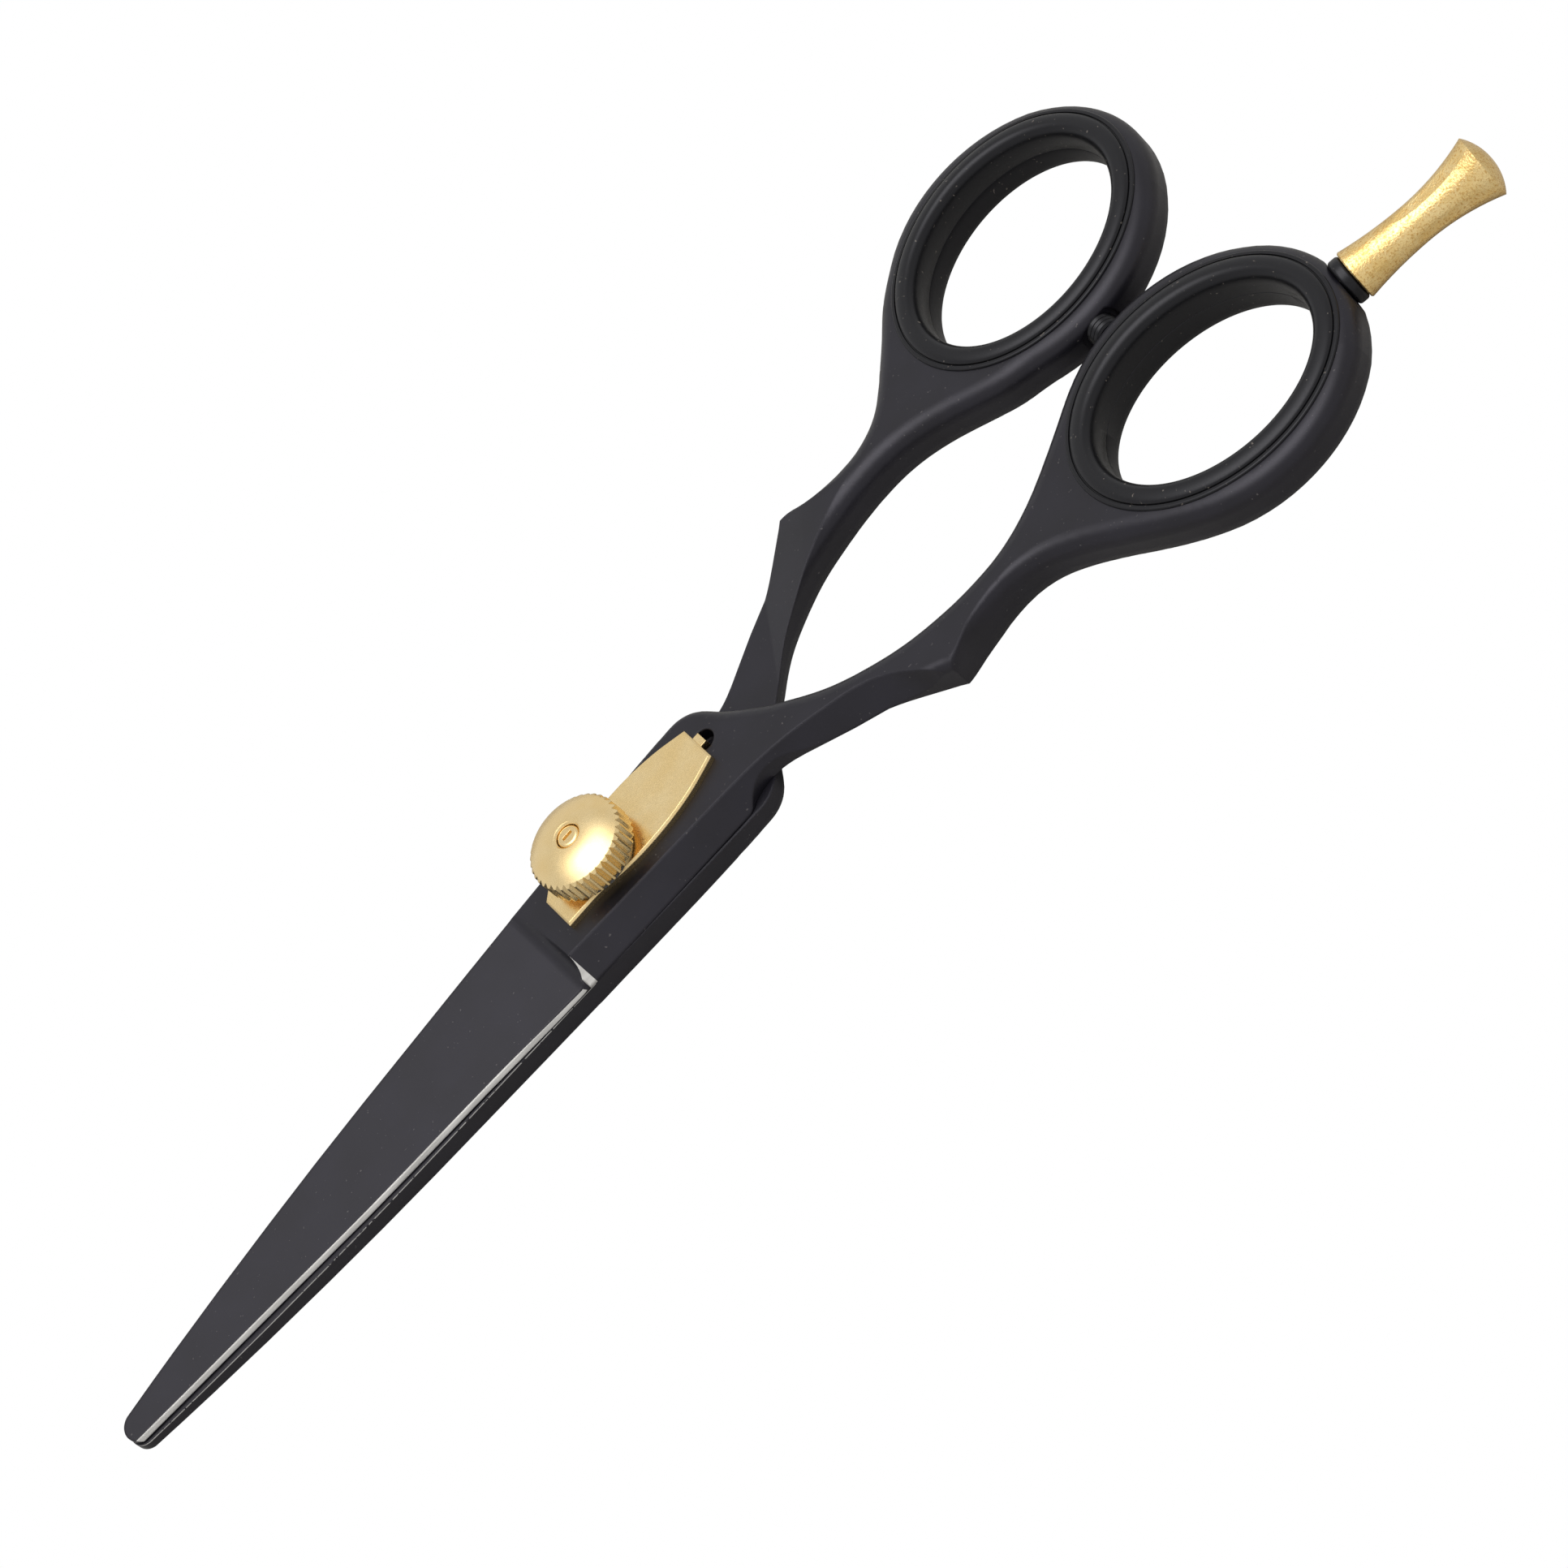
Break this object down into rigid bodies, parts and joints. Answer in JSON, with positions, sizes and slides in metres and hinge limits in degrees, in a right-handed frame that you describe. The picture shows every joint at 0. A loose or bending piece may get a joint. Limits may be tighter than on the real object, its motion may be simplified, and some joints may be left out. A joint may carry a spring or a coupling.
{
  "type": "hair cutting shears",
  "caption": "Hair cutting shears with offset finger rings, soft ring inserts, a gold adjusting knob on a leaf plate and a screw-in finger rest.",
  "frame": {"origin": "on the pivot axis, at the outer face of the pivot screw's head, which is the face the closed shears lie on", "axes": "+X along the closed shears toward the tips, +Y toward the finger ring and its rest, +Z out of the adjusting knob, square to the blades"},
  "size_m": [0.1808, 0.0654, 0.0118],
  "materials": {
    "black_coated_steel": "matte black coating with a fine grain",
    "gold_plated_brass": "satin gold plating",
    "black_rubber": "satin moulded rubber",
    "white_nylon": "plain nylon",
    "spring_steel": "bright spring steel"
  },
  "bodies": {
    "finger_side": {"front_half": "black_coated_steel", "pivot_screw": "gold_plated_brass", "head_washer": "white_nylon", "pivot_washer": "white_nylon", "leaf_plate": "gold_plated_brass", "finger_insert": "black_rubber"},
    "thumb_side": {"rear_half": "black_coated_steel", "thumb_insert": "black_rubber", "bumper": "black_rubber"},
    "tension_spring": {"spring_washer": "spring_steel"},
    "tension_knob": {"adjusting_knob": "gold_plated_brass"},
    "rest_seal": {"finger_rest_seal": "black_rubber"},
    "rest": {"finger_rest": "gold_plated_brass"}
  },
  "joints": [
    {"name": "blade_pivot", "type": "hinge", "parent": "finger_side", "child": "thumb_side", "pos_m": [0, 0, 0.0032], "axis": [0, 0, 1], "range_deg": [0, 60]},
    {"name": "knob_lift", "type": "slide", "parent": "finger_side", "child": "tension_spring", "axis": [0, 0, 1], "range_m": [0, 0.0005]},
    {"name": "knob_spin", "type": "hinge", "parent": "tension_spring", "child": "tension_knob", "pos_m": [0, 0, 0.0095], "axis": [0, 0, 1], "range_deg": [0, 360]},
    {"name": "rest_back_out", "type": "slide", "parent": "finger_side", "child": "rest_seal", "axis": [-0.9785, 0.2062, 0], "range_m": [0, 0.00135]},
    {"name": "rest_unscrew", "type": "hinge", "parent": "rest_seal", "child": "rest", "pos_m": [-0.0734, 0.01875, 0.0032], "axis": [-0.9785, 0.2062, 0], "range_deg": [0, 1080]}
  ],
  "couplings": [
    {"joint": "knob_spin", "follows": "knob_lift", "rad_per_m": 12566},
    {"joint": "rest_unscrew", "follows": "rest_back_out", "rad_per_m": 13962}
  ]
}
